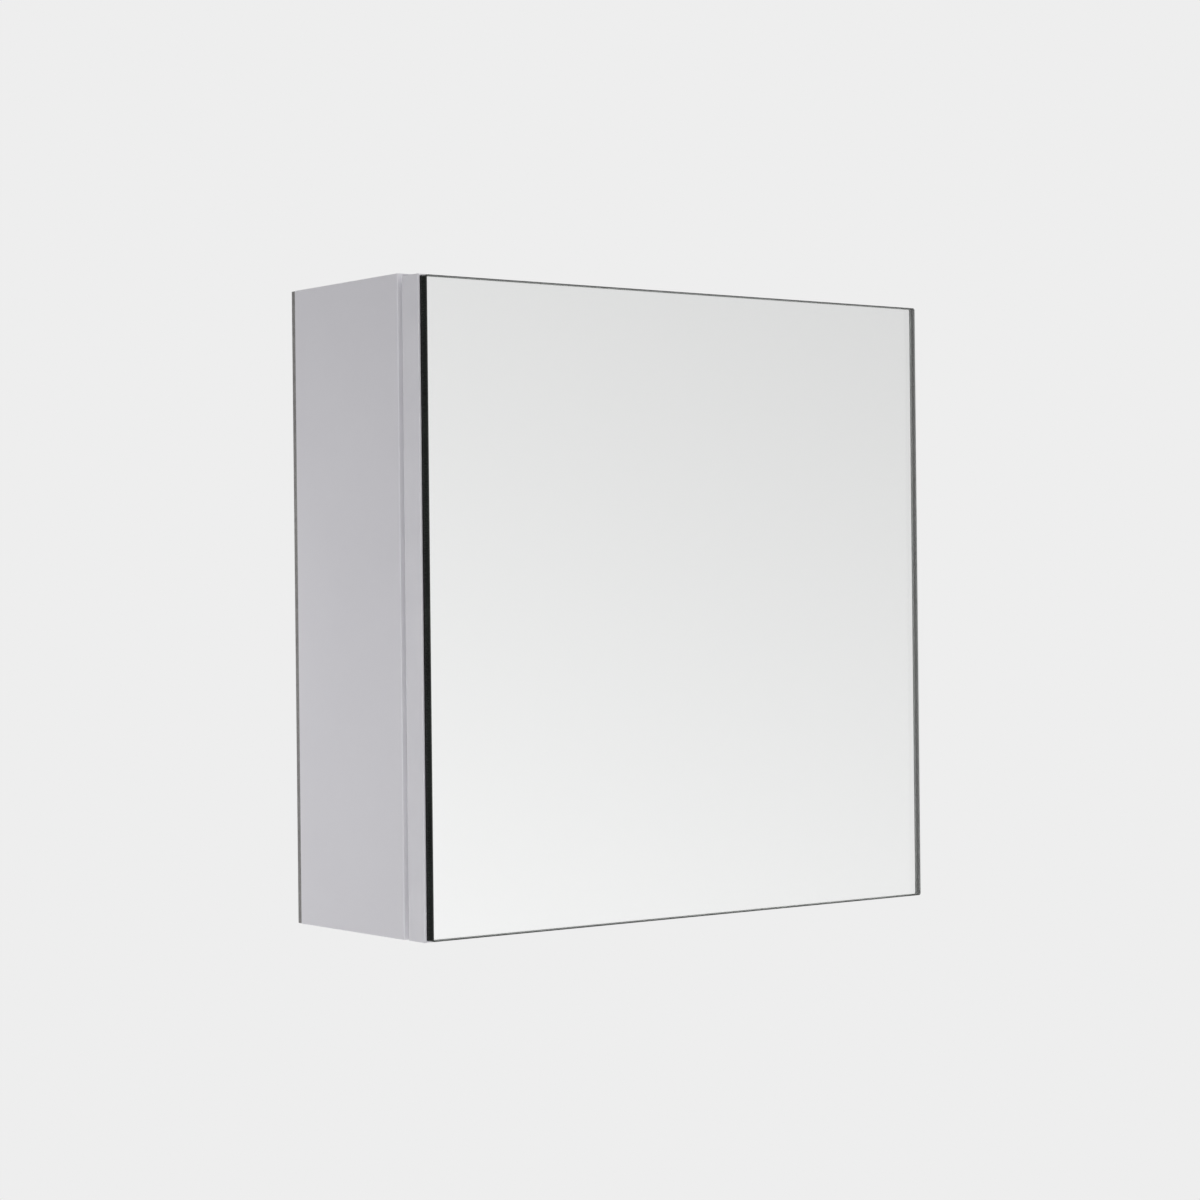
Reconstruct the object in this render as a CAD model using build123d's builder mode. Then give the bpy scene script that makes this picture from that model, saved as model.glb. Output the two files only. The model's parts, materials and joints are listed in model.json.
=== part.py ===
from build123d import *
import os
from math import hypot

# A wall-hung bathroom cabinet with one mirror door, in millimetres.
# X runs to the right, Y towards the wall, Z up. The origin is the middle of the face on the wall.
os.makedirs("parts", exist_ok=True)

# Carcass
cabinet_width = 400.0
cabinet_height = 400.0
carcass_depth = 122.0        # from the wall to the front edges
side_board = 16.0
panel_board = 16.0           # top and bottom
back_sheet = 4.0
back_inset = 0.2             # the back stands in from the outline by this
carcass_band = 0.8
band_joint = 0.1             # hairline between neighbouring edge bands
edge_ease = 0.4              # eased arris of a board
rail_board = 16.0
rail_height = 70.0

# Holes for the wall screws
wall_hole_radius = 3.25
wall_hole_spacing = 256.0

# Door and mirror
door_gap = 3.0               # between carcass and door
door_board = 18.0
door_band = 1.0
band_flat = 0.2              # square part left on a rounded door band
side_reveal = 1.0
top_reveal = 2.0
mirror_inset = 1.0
mirror_corner = 1.5
tape_thick = 2.0
tape_width = 25.0
tape_count = 4
tape_margin = 0.2            # from the mirror's edges
silver_thick = 0.2
glass_thick = 4.8
glass_arris = 0.5

# Shelves and their pins
shelf_glass = 5.0
shelf_depth = 98.0
shelf_back_room = 4.0
shelf_end_room = 0.5         # between shelf end and pin collar
shelf_corner = 8.0
shelf_arris = 0.6
pin_row_pitch = 32.0
upper_row = 64.0
lower_row = -64.0
pin_column_rear = 27.0       # rear holes, from the back sheet
pin_column_front = 28.0      # front holes, from the carcass front
pin_hole_radius = 2.5
pin_hole_depth = 10.0
pin_fit = 0.05
pin_peg = 9.0
pin_collar_radius = 3.6
pin_collar = 1.5
tongue_length = 9.0
tongue_width = 9.0
tongue_thick = 2.0
tongue_corner = 3.0

# Corner joints: one cam lock and two dowels in each corner
cam_radius = 7.4
cam_clearance = 0.1
cam_height = 11.8
cam_setback = 24.0           # from the panel's end to the cam
cam_floor = 2.7              # panel left under the cam
cap_thick = 1.2
bolt_thread_radius = 2.5
bolt_thread = 11.0
bolt_neck_radius = 2.0
bolt_head_radius = 3.2
bolt_head = 4.0
bolt_bore_radius = 3.6
dowel_radius = 4.0
dowel_in_side = 11.0
dowel_in_panel = 19.0
dowel_spread = 33.0          # from the cam to each dowel
bore_fit = 0.05              # round fastener in its hole, on the radius
bore_end = 0.5               # air past the end of a fastener

# Screws
back_screw_radius = 1.5
back_screw_head = 3.0
back_screw_length = 16.0
back_screw_fit = 0.1
back_screw_end = 80.0        # outermost screws in a side, from the top or bottom
back_screw_inset = 110.0     # screws in top and bottom, from the cabinet's side
back_screw_rail = 68.0       # screws in the rail, in from the wall holes
screw_radius = 1.6
screw_head_radius = 3.4
screw_head_top = 2.6
screw_head = 2.0
screw_grip = 11.0            # length in the wood
screw_fit = 0.1

# Cup hinges, two on the right side
hinge_inset = 70.0           # from the cabinet's end to each hinge
cup_diameter = 35.0
cup_edge = 3.0               # wood between cup and door edge
cup_wood = 3.3               # wood in front of the cup
cup_wall = 1.0
cup_flange = 1.2
cup_lip = 0.5
cup_clearance = 0.1
ear_offset = 6.0             # screw ears, from the cup's middle
ear_spread = 24.0
ear_radius = 6.5
pivot_inset = 8.0            # pivot to door edge
pivot_radius = 1.5
pivot_fit = 0.05
pivot_end = 0.4              # pin stands out of the cheeks by this
cheek = 1.2                  # two cheeks in the cup hold the pin
cheek_reach = 3.5            # of a cheek round the pivot
cheek_room = 0.3             # between cheek and arm
arm_sheet = 1.2
arm_width = 11.0
arm_bend = 1.6
arm_room = 0.4               # air between knuckle and cup
leg_room = 0.8               # air between arm and the swing of the door's edge
jog_depth = 5.0              # arm turns to the side panel this far behind the front
plate_front = 9.0
plate_length = 38.0
plate_height = 44.0
plate_corner = 6.0
plate_screw_line = 37.0      # screws behind the front edge
plate_screw_spread = 16.0

# Push latch on the left side
latch_level = 0.0
latch_thick = 18.0
latch_height = 20.0
latch_length = 60.0
latch_round = 6.0
latch_setback = 2.0
latch_rear_wall = 4.0
lug_thick = 2.5
lug_depth = 22.0
lug_span = 42.0
lug_corner = 5.0
lug_setback = 26.0
lug_screw_spread = 15.5
plunger_radius = 4.5
plunger_fit = 0.08
plunger_stem = 40.0
plunger_bore_radius = 3.3
plunger_bore = 28.0
tip_radius = 5.8
tip_room = 0.3               # tip to housing and tip to strike plate
tip_ease = 0.5
magnet_radius = 4.0
magnet_thick = 1.5
magnet_fit = 0.05
spring_wire = 0.8
spring_sides = 6             # the wire is six-sided, to keep the coil light
spring_radius = 2.5
spring_turns = 7
spring_seat = 0.2
strike_radius = 9.0
strike_thick = 1.5
strike_ease = 0.4
strike_screw_radius = 1.5
strike_screw_head = 2.8
strike_screw_length = 11.0

# Places worked out from these sizes
half_width = cabinet_width / 2
half_height = cabinet_height / 2
inner_x = half_width - side_board
side_mid_x = half_width - side_board / 2
inner_z = half_height - panel_board
front_y = -carcass_depth
board_front_y = front_y + carcass_band
board_depth = carcass_depth - carcass_band - back_sheet
side_height = cabinet_height - 2 * carcass_band
board_mid_y = -back_sheet - board_depth / 2
joint_z = half_height - panel_board / 2
dowel_places_y = (board_mid_y - dowel_spread, board_mid_y + dowel_spread)
rail_mid_y = -back_sheet - rail_board / 2
rail_mid_z = inner_z - rail_height / 2
cam_bore_depth = panel_board - cam_floor
wall_hole_x = wall_hole_spacing / 2
wall_hole_places = [(side * wall_hole_x, 0, rail_mid_z) for side in (-1, 1)]

door_back_y = front_y - door_gap
door_front_y = door_back_y - door_board
silver_back_y = door_front_y - tape_thick
glass_back_y = silver_back_y - silver_thick
door_width = cabinet_width - 2 * side_reveal
door_height = cabinet_height - top_reveal
door_mid_z = -top_reveal / 2
door_right = door_width / 2
band_round = door_band - band_flat
mirror_width = door_width - 2 * mirror_inset
mirror_height = door_height - 2 * mirror_inset
tape_pitch = (mirror_width - 2 * tape_margin - tape_width) / (tape_count - 1)

pin_columns = (-back_sheet - pin_column_rear, front_y + pin_column_front)
pin_rows = [
    row + step * pin_row_pitch
    for row in (lower_row, upper_row)
    for step in (-1, 0, 1)
]
shelf_length = 2 * (inner_x - pin_collar - shelf_end_room)
shelf_mid_y = -back_sheet - shelf_back_room - shelf_depth / 2

cup_radius = cup_diameter / 2
cup_depth = door_board - cup_wood
knuckle_radius = pivot_radius + pivot_fit + arm_sheet
pivot_depth = cup_depth - cup_wall - arm_room - knuckle_radius
pivot_x = door_right - pivot_inset
pivot_y = door_back_y - pivot_depth
cup_x = door_right - cup_edge - cup_radius
cheek_inner = arm_width / 2 + cheek_room
pivot_half = cheek_inner + cheek + pivot_end
hinge_rise = half_height - hinge_inset
hinge_levels = {"upper": hinge_rise, "lower": -hinge_rise}

latch_x = -inner_x + latch_thick / 2
latch_front_y = front_y + latch_setback
lug_y = latch_front_y + lug_setback
tip_y = door_back_y + strike_thick + tip_room
tip_length = latch_front_y - tip_room - tip_y
stem_front_y = tip_y + tip_length
stem_rear_y = stem_front_y + plunger_stem
latch_floor_y = latch_front_y + latch_length - latch_rear_wall
bore_floor_y = stem_rear_y - plunger_bore

# Directions
to_wall = (0, 1, 0)
to_room = (0, -1, 0)


def write(builder, name):
    builder.part.label = name
    export_step(builder.part, f"parts/{name}.step")


def drill(places, out_of, radius, depth):
    # Round holes that open at each place, in the direction out_of.
    for place in places:
        with Locations(Plane(origin=place, z_dir=out_of)):
            Hole(radius, depth)


def rods(places, out_of, radius, length, start=0.0):
    # Round rods that run inwards from each place, beginning start below it.
    for place in places:
        with Locations(Plane(origin=place, z_dir=out_of).offset(-start)):
            Cylinder(radius, length, align=(Align.CENTER, Align.CENTER, Align.MAX))


def pan_screws(places, out_of, seat):
    # Pan-head screws whose heads sit on a plate of thickness seat.
    for place in places:
        head_seat = Plane(origin=place, z_dir=out_of).offset(seat)
        with Locations(head_seat):
            Cylinder(screw_radius, seat + screw_grip, align=(Align.CENTER, Align.CENTER, Align.MAX))
            Cone(
                screw_head_radius,
                screw_head_top,
                screw_head,
                align=(Align.CENTER, Align.CENTER, Align.MIN),
            )


def flush_screws(places, out_of, radius, head_radius, length, below):
    # Countersunk screws with a right-angled head, set below the surface.
    for place in places:
        with Locations(Plane(origin=place, z_dir=out_of).offset(-below)):
            Cylinder(radius, length, align=(Align.CENTER, Align.CENTER, Align.MAX))
            Cone(
                radius,
                head_radius,
                head_radius - radius,
                align=(Align.CENTER, Align.CENTER, Align.MAX),
            )


# Where the screws sit
def plate_screw_places(level):
    y = front_y + plate_screw_line
    return [(inner_x, y, level + up * plate_screw_spread) for up in (-1, 1)]


def ear_screw_places(level):
    return [(cup_x - ear_offset, door_back_y, level + up * ear_spread) for up in (-1, 1)]


lug_screw_places = [(-inner_x, lug_y, latch_level + up * lug_screw_spread) for up in (-1, 1)]
back_row = half_height - back_screw_end
back_column = half_width - back_screw_inset
rail_column = wall_hole_x - back_screw_rail
side_back_places = [
    (side * side_mid_x, 0, z) for side in (-1, 1) for z in (-back_row, 0, back_row)
]
panel_back_places = [(side * back_column, 0, up * joint_z) for side in (-1, 1) for up in (-1, 1)]
rail_back_places = [(side * rail_column, 0, rail_mid_z) for side in (-1, 1)]
back_screw_places = side_back_places + panel_back_places + rail_back_places


# Side panels, bored for pins, dowels, cam bolts and screws
def side_panel(name, side):
    inner = side * inner_x
    inwards = (-side, 0, 0)
    with BuildPart() as panel:
        with BuildSketch(Plane.YZ.offset(inner)):
            with Locations((board_mid_y, 0)):
                Rectangle(board_depth, side_height)
        extrude(amount=side * side_board)
        pin_places = [(inner, y, z) for y in pin_columns for z in pin_rows]
        drill(pin_places, inwards, pin_hole_radius, pin_hole_depth)
        dowel_places = [(inner, y, up * joint_z) for y in dowel_places_y for up in (-1, 1)]
        dowel_places.append((inner, rail_mid_y, rail_mid_z))
        drill(dowel_places, inwards, dowel_radius + bore_fit, dowel_in_side + bore_end)
        bolt_places = [(inner, board_mid_y, up * joint_z) for up in (-1, 1)]
        drill(bolt_places, inwards, bolt_thread_radius + bore_fit, bolt_thread + bore_end)
        own_back_places = [p for p in side_back_places if p[0] * side > 0]
        drill(own_back_places, to_wall, back_screw_radius + bore_fit, back_screw_length + bore_end)
        if side > 0:
            screw_places = plate_screw_places(hinge_rise) + plate_screw_places(-hinge_rise)
        else:
            screw_places = lug_screw_places
        drill(screw_places, inwards, screw_radius + bore_fit, screw_grip + bore_end)
    write(panel, name)


side_panel("side_panel_left", -1)
side_panel("side_panel_right", 1)


# Top and bottom panels between the sides, with the cam bores on the outer face
def flat_panel(name, up):
    with BuildPart() as panel:
        with BuildSketch(Plane.XY.offset(up * inner_z)):
            with Locations((0, board_mid_y)):
                Rectangle(2 * inner_x, board_depth)
        extrude(amount=up * panel_board)
        for side in (-1, 1):
            cam_place = (side * (inner_x - cam_setback), board_mid_y, up * half_height)
            drill([cam_place], (0, 0, up), cam_radius + cam_clearance, cam_bore_depth)
            end = side * inner_x
            drill([(end, board_mid_y, up * joint_z)], (side, 0, 0), bolt_bore_radius, cam_setback)
            dowel_places = [(end, y, up * joint_z) for y in dowel_places_y]
            drill(dowel_places, (side, 0, 0), dowel_radius + bore_fit, dowel_in_panel + bore_end)
        own_back_places = [p for p in panel_back_places if p[2] * up > 0]
        drill(own_back_places, to_wall, back_screw_radius + bore_fit, back_screw_length + bore_end)
    write(panel, name)


flat_panel("top_panel", 1)
flat_panel("bottom_panel", -1)

# Hanging rail under the top, bored for the wall screws
with BuildPart() as rail:
    with BuildSketch(Plane.XZ.offset(back_sheet)):
        with Locations((0, rail_mid_z)):
            Rectangle(2 * inner_x, rail_height)
    extrude(amount=rail_board)
    drill(wall_hole_places, to_wall, wall_hole_radius, carcass_depth)
    for side in (-1, 1):
        end_place = (side * inner_x, rail_mid_y, rail_mid_z)
        drill([end_place], (side, 0, 0), dowel_radius + bore_fit, dowel_in_panel + bore_end)
    drill(rail_back_places, to_wall, back_screw_radius + bore_fit, back_screw_length + bore_end)
write(rail, "hanging_rail")

# Back sheet over the rear edges, countersunk for its screws
with BuildPart() as back:
    with BuildSketch(Plane.XZ):
        Rectangle(cabinet_width - 2 * back_inset, cabinet_height - 2 * back_inset)
    extrude(amount=back_sheet)
    drill(wall_hole_places, to_wall, wall_hole_radius, back_sheet)
    for place in back_screw_places:
        with Locations(Plane(origin=place, z_dir=to_wall)):
            CounterSinkHole(
                back_screw_radius + back_screw_fit,
                back_screw_head + 2 * back_screw_fit,
                back_sheet,
                counter_sink_angle=90,
            )
write(back, "back_panel")

with BuildPart() as back_screws:
    flush_screws(
        back_screw_places,
        to_wall,
        back_screw_radius,
        back_screw_head,
        back_screw_length,
        back_screw_fit,
    )
write(back_screws, "back_screws")

# Edge bands on the front of the carcass and on the ends of its sides
with BuildPart() as carcass_bands:
    with BuildSketch(Plane.XZ.offset(-board_front_y)):
        with Locations((-side_mid_x, 0), (side_mid_x, 0)):
            Rectangle(side_board, cabinet_height)
        with Locations((0, -joint_z), (0, joint_z)):
            Rectangle(2 * (inner_x - band_joint), panel_board)
    extrude(amount=carcass_band)
    chamfer(carcass_bands.faces().group_by(Axis.Y)[0].edges(), edge_ease)
    end_mid_y = board_mid_y + band_joint / 2
    for up in (-1, 1):
        with BuildSketch(Plane.XY.offset(up * side_height / 2)):
            with Locations((-side_mid_x, end_mid_y), (side_mid_x, end_mid_y)):
                Rectangle(side_board, board_depth - band_joint)
        extrude(amount=up * carcass_band)
        outer_faces = carcass_bands.faces().group_by(Axis.Z)[-1 if up > 0 else 0]
        end_faces = outer_faces.group_by(SortBy.AREA)[-1]
        chamfer(end_faces.edges().filter_by(Axis.Y), edge_ease)
write(carcass_bands, "carcass_edge_bands")

# Cam locks, their bolts and caps, and the dowels
with BuildPart() as cam_locks:
    for side in (-1, 1):
        for up in (-1, 1):
            cam_x = side * (inner_x - cam_setback)
            rods([(cam_x, board_mid_y, up * half_height)], (0, 0, up), cam_radius, cam_height, cap_thick)
            slot_mouth = (side * inner_x, board_mid_y, up * joint_z)
            drill([slot_mouth], (side, 0, 0), bolt_bore_radius, cam_setback + bolt_head)
write(cam_locks, "cam_locks")

with BuildPart() as cam_bolts:
    for side in (-1, 1):
        neck = cam_setback - bolt_head / 2
        places = [(side * inner_x, board_mid_y, up * joint_z) for up in (-1, 1)]
        rods(places, (-side, 0, 0), bolt_thread_radius, bolt_thread)
        rods(places, (side, 0, 0), bolt_neck_radius, neck)
        rods(places, (side, 0, 0), bolt_head_radius, bolt_head, neck)
write(cam_bolts, "cam_bolts")

with BuildPart() as cam_caps:
    for up in (-1, 1):
        places = [(side * (inner_x - cam_setback), board_mid_y, up * half_height) for side in (-1, 1)]
        rods(places, (0, 0, up), cam_radius, cap_thick)
write(cam_caps, "cam_caps")

with BuildPart() as dowels:
    for side in (-1, 1):
        places = [(side * inner_x, y, up * joint_z) for y in dowel_places_y for up in (-1, 1)]
        places.append((side * inner_x, rail_mid_y, rail_mid_z))
        rods(places, (side, 0, 0), dowel_radius, dowel_in_side + dowel_in_panel, -dowel_in_side)
write(dowels, "wood_dowels")


# Glass shelves, each on four spoon pins
def shelf(name, row):
    with BuildPart() as glass:
        with BuildSketch(Plane.XY.offset(row + tongue_thick / 2)) as outline:
            with Locations((0, shelf_mid_y)):
                Rectangle(shelf_length, shelf_depth)
            fillet(outline.vertices().group_by(Axis.Y)[0], shelf_corner)
        extrude(amount=shelf_glass)
        rims = glass.faces().filter_by(Axis.Z).edges()
        chamfer(rims, shelf_arris)
    write(glass, f"shelf_{name}")


def shelf_pins(name, row):
    with BuildPart() as pins:
        for side in (-1, 1):
            places = [(side * inner_x, y, row) for y in pin_columns]
            rods(places, (-side, 0, 0), pin_hole_radius - pin_fit, pin_peg)
            rods(places, (side, 0, 0), pin_collar_radius, pin_collar)
            for place in places:
                tongue_end = side * (inner_x - pin_collar - tongue_length / 2)
                with BuildSketch(Plane.XY.offset(row - tongue_thick / 2)):
                    with Locations((tongue_end, place[1])):
                        RectangleRounded(tongue_length + pin_collar, tongue_width, tongue_corner)
                extrude(amount=tongue_thick)
    write(pins, f"shelf_pins_{name}")


for name, row in {"upper": upper_row, "lower": lower_row}.items():
    shelf(name, row)
    shelf_pins(name, row)

# Door board with the hinge cup bores
with BuildPart() as door:
    with BuildSketch(Plane.XZ.offset(-door_back_y)):
        with Locations((0, door_mid_z)):
            Rectangle(door_width - 2 * door_band, door_height - 2 * door_band)
    extrude(amount=door_board)
    for level in hinge_levels.values():
        cup_mouth = (cup_x, door_back_y, level)
        drill([cup_mouth], to_wall, cup_radius + cup_clearance, cup_depth + cup_clearance)
        drill(ear_screw_places(level), to_wall, screw_radius + bore_fit, screw_grip + bore_end)
    strike_place = (latch_x, door_back_y, latch_level)
    drill([strike_place], to_wall, strike_screw_radius + bore_fit, strike_screw_length + bore_end)
write(door, "door_panel")

# Edge bands round the door, with their long outer arrises rounded
with BuildPart() as door_bands:
    for side in (-1, 1):
        with BuildSketch(Plane.XY.offset(door_mid_z - door_height / 2)) as section:
            with Locations((side * (door_right - door_band / 2), door_back_y - door_board / 2)):
                Rectangle(door_band, door_board)
            fillet(section.vertices().group_by(Axis.X)[-1 if side > 0 else 0], band_round)
        extrude(amount=door_height)
    for up in (-1, 1):
        band_z = door_mid_z + up * (door_height - door_band) / 2
        band_length = door_width - 2 * door_band - 2 * band_joint
        with BuildSketch(Plane.YZ.offset(-band_length / 2)) as section:
            with Locations((door_back_y - door_board / 2, band_z)):
                Rectangle(door_board, door_band)
            fillet(section.vertices().group_by(Axis.Y)[-1 if up > 0 else 0], band_round)
        extrude(amount=band_length)
write(door_bands, "door_edge_bands")

# Mirror: foam tape strips, silvered back and the glass
with BuildPart() as tape:
    with BuildSketch(Plane.XZ.offset(-door_front_y)):
        with Locations((0, door_mid_z)):
            with GridLocations(tape_pitch, 1, tape_count, 1):
                Rectangle(tape_width, mirror_height - 2 * tape_margin)
    extrude(amount=tape_thick)
write(tape, "mirror_tape")

with BuildPart() as silver:
    with BuildSketch(Plane.XZ.offset(-silver_back_y)):
        with Locations((0, door_mid_z)):
            RectangleRounded(mirror_width, mirror_height, mirror_corner)
    extrude(amount=silver_thick)
write(silver, "mirror_silvering")

with BuildPart() as mirror_glass:
    with BuildSketch(Plane.XZ.offset(-glass_back_y)):
        with Locations((0, door_mid_z)):
            RectangleRounded(mirror_width, mirror_height, mirror_corner)
    extrude(amount=glass_thick)
    chamfer(mirror_glass.faces().sort_by(Axis.Y)[0].edges(), glass_arris)
write(mirror_glass, "mirror_glass")


# Hinge cup: a drawn steel cup with a flange and two screw ears
def hinge_cup(name, level):
    # In this plane X points away from the door's edge, Y up, and the normal to the wall.
    mouth = Plane(origin=(cup_x, door_back_y, level), x_dir=(-1, 0, 0), z_dir=to_wall)
    with BuildPart() as cup:
        with BuildSketch(mouth):
            Circle(cup_radius)
        extrude(amount=-cup_depth)
        fillet(cup.faces().sort_by(Axis.Y)[0].edges(), cup_wall)
        with BuildSketch(mouth):
            Circle(cup_radius + cup_lip)
            with Locations((ear_offset, 0)):
                SlotCenterToCenter(2 * ear_spread, 2 * ear_radius, rotation=90)
        extrude(amount=cup_flange)
        with BuildSketch(mouth.offset(cup_flange)):
            Circle(cup_radius - cup_wall)
        extrude(amount=cup_wall - cup_depth - cup_flange, mode=Mode.SUBTRACT)
        with BuildSketch(mouth.offset(cup_wall - cup_depth)):
            with Locations((cheek_reach - (pivot_x - cup_x), 0)):
                with GridLocations(1, 2 * cheek_inner + cheek, 1, 2):
                    Rectangle(cup_radius, cheek, align=(Align.MAX, Align.CENTER))
            Circle(cup_radius - cup_wall / 2, mode=Mode.INTERSECT)
        extrude(amount=cup_depth - cup_wall - pivot_depth + cheek_reach)
        with BuildSketch(Plane.XY.offset(level)):
            with Locations((pivot_x, pivot_y)):
                Circle(pivot_radius + pivot_fit)
        extrude(amount=cup_radius, both=True, mode=Mode.SUBTRACT)
        ear_faces = [(x, y + cup_flange, z) for x, y, z in ear_screw_places(level)]
        drill(ear_faces, to_wall, screw_radius + screw_fit, cup_flange)
    write(cup, f"hinge_cup_{name}")


# Hinge arm: a steel strip rolled round the pin, bent over the front edge and
# widened to a plate on the side panel. It clears the swing of the door's edge.
def hinge_arm(name, level):
    # In this plane X points into the cabinet from the side panel and Y to the room.
    bend_plane = Plane(origin=(inner_x, front_y, level), x_dir=(-1, 0, 0), z_dir=(0, 0, 1))
    pivot = (inner_x - pivot_x, front_y - pivot_y)
    strip_v = pivot[1] + knuckle_radius - arm_sheet / 2
    leg_u = pivot[0] + hypot(pivot_inset, pivot_depth) + leg_room + arm_sheet / 2
    plate_back = plate_front + plate_length
    with BuildPart() as arm:
        with BuildSketch(bend_plane):
            with BuildLine():
                FilletPolyline(
                    (pivot[0], strip_v),
                    (leg_u, strip_v),
                    (leg_u, -jog_depth),
                    (arm_sheet / 2, -jog_depth),
                    (arm_sheet / 2, -plate_back),
                    radius=arm_bend,
                )
            trace(line_width=arm_sheet)
            with Locations(pivot):
                Circle(knuckle_radius)
                Circle(pivot_radius + pivot_fit, mode=Mode.SUBTRACT)
        extrude(amount=arm_width / 2, both=True)
        with BuildSketch(Plane.YZ.offset(inner_x)):
            with Locations((front_y + plate_front + plate_length / 2, level)):
                RectangleRounded(plate_length, plate_height, plate_corner)
        extrude(amount=-arm_sheet)
        plate_faces = [(x - arm_sheet, y, z) for x, y, z in plate_screw_places(level)]
        drill(plate_faces, (-1, 0, 0), screw_radius + screw_fit, arm_sheet)
    write(arm, f"hinge_arm_{name}")


def hinge_pin(name, level):
    with BuildPart() as pin:
        with BuildSketch(Plane.XY.offset(level)):
            with Locations((pivot_x, pivot_y)):
                Circle(pivot_radius)
        extrude(amount=pivot_half, both=True)
    write(pin, f"hinge_pin_{name}")


for name, level in hinge_levels.items():
    hinge_cup(name, level)
    hinge_arm(name, level)
    hinge_pin(name, level)

with BuildPart() as cup_screws:
    for level in hinge_levels.values():
        pan_screws(ear_screw_places(level), to_wall, cup_flange)
write(cup_screws, "hinge_cup_screws")

with BuildPart() as arm_screws:
    for level in hinge_levels.values():
        pan_screws(plate_screw_places(level), (-1, 0, 0), arm_sheet)
write(arm_screws, "hinge_arm_screws")

# Push latch: housing with lugs, sprung plunger with a magnet, and the strike plate on the door
with BuildPart() as housing:
    with BuildSketch(Plane.XZ.offset(-latch_front_y)) as section:
        with Locations((latch_x, latch_level)):
            Rectangle(latch_thick, latch_height)
        fillet(section.vertices().group_by(Axis.X)[-1], latch_round)
    extrude(amount=-latch_length)
    with BuildSketch(Plane.YZ.offset(-inner_x)):
        with Locations((lug_y, latch_level)):
            RectangleRounded(lug_depth, lug_span, lug_corner)
    extrude(amount=lug_thick)
    latch_mouth = (latch_x, latch_front_y, latch_level)
    drill([latch_mouth], to_room, plunger_radius + plunger_fit, latch_length - latch_rear_wall)
    lug_faces = [(x + lug_thick, y, z) for x, y, z in lug_screw_places]
    drill(lug_faces, (1, 0, 0), screw_radius + screw_fit, lug_thick)
write(housing, "latch_housing")

with BuildPart() as latch_screws:
    pan_screws(lug_screw_places, (1, 0, 0), lug_thick)
write(latch_screws, "latch_screws")

with BuildPart() as plunger:
    tip_face = (latch_x, tip_y, latch_level)
    rods([tip_face], to_room, tip_radius, tip_length)
    chamfer(plunger.faces().sort_by(Axis.Y)[0].edges(), tip_ease)
    rods([tip_face], to_room, plunger_radius, plunger_stem, tip_length)
    drill([tip_face], to_room, magnet_radius + magnet_fit, magnet_thick)
    drill([(latch_x, stem_rear_y, latch_level)], to_wall, plunger_bore_radius, plunger_bore)
write(plunger, "latch_plunger")

with BuildPart() as magnet:
    rods([(latch_x, tip_y, latch_level)], to_room, magnet_radius, magnet_thick)
write(magnet, "latch_magnet")

# Latch spring, from the housing's floor to the floor of the plunger's bore
spring_length = latch_floor_y - bore_floor_y - spring_wire - 2 * spring_seat
spring_start = bore_floor_y + spring_seat + spring_wire / 2
with BuildPart() as spring:
    with BuildLine() as coil:
        Helix(
            pitch=spring_length / spring_turns,
            height=spring_length,
            radius=spring_radius,
            center=(latch_x, spring_start, latch_level),
            direction=to_wall,
        )
    with BuildSketch(Plane(origin=coil.line @ 0, z_dir=coil.line % 0)):
        RegularPolygon(spring_wire / 2, spring_sides)
    sweep(path=coil.line, is_frenet=True)
write(spring, "latch_spring")

with BuildPart() as strike:
    strike_face = (latch_x, door_back_y + strike_thick, latch_level)
    rods([strike_face], to_wall, strike_radius, strike_thick)
    chamfer(strike.faces().sort_by(Axis.Y)[-1].edges(), strike_ease)
    with Locations(Plane(origin=strike_face, z_dir=to_wall)):
        CounterSinkHole(
            strike_screw_radius + screw_fit,
            strike_screw_head + 2 * screw_fit,
            strike_thick,
            counter_sink_angle=90,
        )
write(strike, "strike_plate")

with BuildPart() as strike_screw:
    flush_screws(
        [strike_face],
        to_wall,
        strike_screw_radius,
        strike_screw_head,
        strike_screw_length + strike_thick - screw_fit,
        screw_fit,
    )
write(strike_screw, "strike_screw")
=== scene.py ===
import json
import math

import bmesh
import bpy
from mathutils import Matrix, Vector


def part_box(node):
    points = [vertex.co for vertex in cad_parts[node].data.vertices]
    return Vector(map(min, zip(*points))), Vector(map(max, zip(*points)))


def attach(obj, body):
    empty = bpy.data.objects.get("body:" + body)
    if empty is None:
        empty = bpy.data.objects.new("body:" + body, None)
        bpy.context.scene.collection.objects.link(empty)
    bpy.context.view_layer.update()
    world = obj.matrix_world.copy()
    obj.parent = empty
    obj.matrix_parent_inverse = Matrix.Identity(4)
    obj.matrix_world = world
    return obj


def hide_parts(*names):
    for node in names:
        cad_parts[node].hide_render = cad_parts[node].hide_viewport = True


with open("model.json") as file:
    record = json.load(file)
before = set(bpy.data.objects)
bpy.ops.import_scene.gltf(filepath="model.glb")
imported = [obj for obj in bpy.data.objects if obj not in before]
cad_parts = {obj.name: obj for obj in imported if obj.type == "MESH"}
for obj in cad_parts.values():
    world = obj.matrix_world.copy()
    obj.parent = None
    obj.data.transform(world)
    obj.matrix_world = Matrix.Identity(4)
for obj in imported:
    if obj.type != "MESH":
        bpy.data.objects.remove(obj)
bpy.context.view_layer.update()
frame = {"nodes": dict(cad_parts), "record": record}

# Bathroom cabinet with a mirror door: finishes, small hardware, studio and camera, in metres
nodes = frame["nodes"]
record = frame["record"]
slotOf = {part["node"]: part["material_slot"] for part in record["subparts"]}
bodyOf = {name: body for body, names in record["behaviour"]["bodies"].items() for name in names}
scene = bpy.context.scene
mm = 0.001
mergeGap = 0.002 * mm        # joins the faces of a CAD mesh along their edges
midNoise = (0.3, 0.7)        # noise stays mostly between these two
offFront = (-0.95, -0.6)     # normal along Y, from a front face to the faces round it
sharpAngle = 32              # degrees from which an edge is shaded sharp
print("frame loaded with", len(nodes), "nodes")


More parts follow.
